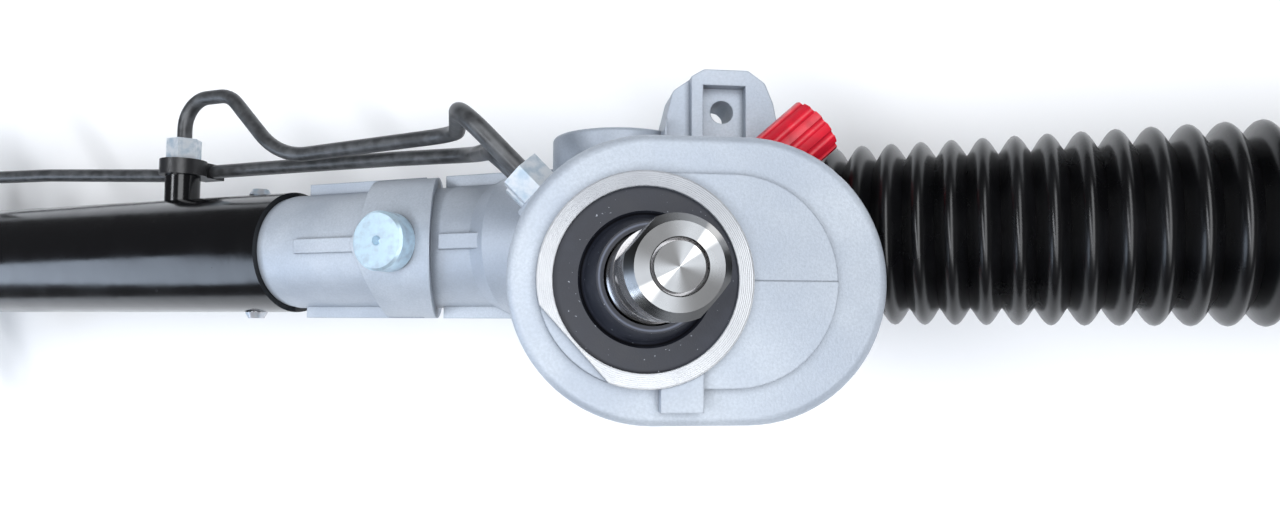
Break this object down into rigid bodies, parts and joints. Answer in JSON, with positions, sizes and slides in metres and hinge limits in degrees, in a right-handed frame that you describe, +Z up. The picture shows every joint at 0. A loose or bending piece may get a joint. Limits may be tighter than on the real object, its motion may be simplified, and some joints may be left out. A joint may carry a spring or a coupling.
{
  "type": "steering rack",
  "caption": "Hydraulic rack and pinion steering gear with a die-cast valve tower, black cylinder tube, steel transfer pipes and convoluted rubber boots.",
  "frame": {"origin": "centre of the tapped hole in the housing's mounting lug, on the lug's seat face", "axes": "+X along the rack towards the boot beside the valve tower, +Z up on the side that the input shaft leans out of, +Y from the rack towards the mounting lug"},
  "size_m": [1.144, 0.1267, 0.1582],
  "materials": {
    "cast_aluminium": "die cast, lightly blasted",
    "black_paint": "gloss black paint",
    "pipe_paint": "dark coated steel pipe",
    "zinc": "clear zinc plated",
    "clip_plastic": "moulded black",
    "turned_steel": "turned",
    "bearing_steel": "ground",
    "boot_rubber": "satin black",
    "seal_rubber": "matt black",
    "clamp_steel": "rolled strip",
    "bearing_plastic": "filled plastic",
    "carrier_alloy": "machined",
    "red_plastic": "moulded red"
  },
  "bodies": {
    "housing": {"pinion_housing": "cast_aluminium", "cylinder_tube": "black_paint", "stake_pins": "black_paint", "port_bosses": "black_paint", "flare_nuts": "zinc", "pipe_clip": "clip_plastic", "upper_transfer_pipe": "pipe_paint", "lower_transfer_pipe": "pipe_paint", "blanking_plug": "zinc", "dust_cover": "boot_rubber", "shaft_seal": "seal_rubber", "retaining_ring": "turned_steel", "upper_bearing": "bearing_steel", "lower_bearing_outer": "bearing_steel", "lower_bearing_balls": "bearing_steel", "lower_cap": "zinc", "rack_yoke": "carrier_alloy", "yoke_liner": "bearing_plastic", "yoke_spring": "turned_steel", "yoke_plug": "zinc", "rack_bush": "bearing_plastic", "inner_seal_carrier": "carrier_alloy", "inner_rack_seal": "seal_rubber", "end_bush": "carrier_alloy", "outer_rack_seal": "seal_rubber", "end_ring": "turned_steel", "mount_bush": "seal_rubber", "mount_bracket": "black_paint", "boot_right": "boot_rubber", "boot_left": "boot_rubber", "large_boot_clamps": "clamp_steel"},
    "rack": {"rack_bar": "turned_steel", "piston": "turned_steel", "piston_ring": "bearing_plastic", "socket_left": "turned_steel", "socket_right": "turned_steel"},
    "pinion": {"pinion": "turned_steel", "valve_sleeve": "turned_steel", "sleeve_rings": "bearing_plastic", "lower_bearing_inner": "bearing_steel", "pinion_nut": "zinc"},
    "input_shaft": {"input_shaft": "turned_steel", "torsion_bar": "turned_steel"},
    "seat_left": {"ball_seat_left": "bearing_plastic"},
    "seat_right": {"ball_seat_right": "bearing_plastic"},
    "tie_rod_left": {"tie_rod_left": "turned_steel", "jam_nut_left": "zinc", "small_clamp_left": "clamp_steel"},
    "tie_rod_right": {"tie_rod_right": "turned_steel", "jam_nut_right": "zinc", "small_clamp_right": "clamp_steel"},
    "cap_pressure": {"cap_pressure": "red_plastic"},
    "cap_return": {"cap_return": "red_plastic"}
  },
  "joints": [
    {"name": "rack_slide", "type": "slide", "parent": "housing", "child": "rack", "axis": [1, 0, 0], "range_m": [-0.072, 0.072], "deforming": ["boot_left", "boot_right"]},
    {"name": "pinion_turn", "type": "hinge", "parent": "housing", "child": "pinion", "pos_m": [-0.03599, -0.0518, -0.00805], "axis": [0.4695, 0, 0.8829], "range_deg": [-620, 620]},
    {"name": "input_twist", "type": "hinge", "parent": "pinion", "child": "input_shaft", "pos_m": [-0.00782, -0.0518, 0.04493], "axis": [0.4695, 0, 0.8829], "range_deg": [-4, 4], "stiffness_Nm_per_rad": 100},
    {"name": "ball_left_swing", "type": "hinge", "parent": "rack", "child": "seat_left", "pos_m": [-0.55999, -0.0369, -0.00805], "axis": [0, 1, 0], "range_deg": [-18, 18], "deforming": ["boot_left"]},
    {"name": "tie_rod_left_swing", "type": "hinge", "parent": "seat_left", "child": "tie_rod_left", "pos_m": [-0.55999, -0.0369, -0.00805], "axis": [0, 0, 1], "range_deg": [-18, 18], "deforming": ["boot_left"]},
    {"name": "ball_right_swing", "type": "hinge", "parent": "rack", "child": "seat_right", "pos_m": [0.12401, -0.0369, -0.00805], "axis": [0, 1, 0], "range_deg": [-18, 18], "deforming": ["boot_right"]},
    {"name": "tie_rod_right_swing", "type": "hinge", "parent": "seat_right", "child": "tie_rod_right", "pos_m": [0.12401, -0.0369, -0.00805], "axis": [0, 0, 1], "range_deg": [-18, 18], "deforming": ["boot_right"]},
    {"name": "cap_pressure_pull", "type": "slide", "parent": "housing", "child": "cap_pressure", "axis": [0.6613, 0.6626, -0.3516], "range_m": [0, 0.015]},
    {"name": "cap_return_pull", "type": "slide", "parent": "housing", "child": "cap_return", "axis": [0.7796, -0.4695, -0.4145], "range_m": [0, 0.015]}
  ],
  "couplings": [
    {"joint": "pinion_turn", "follows": "rack_slide", "rad_per_m": -149.55}
  ]
}
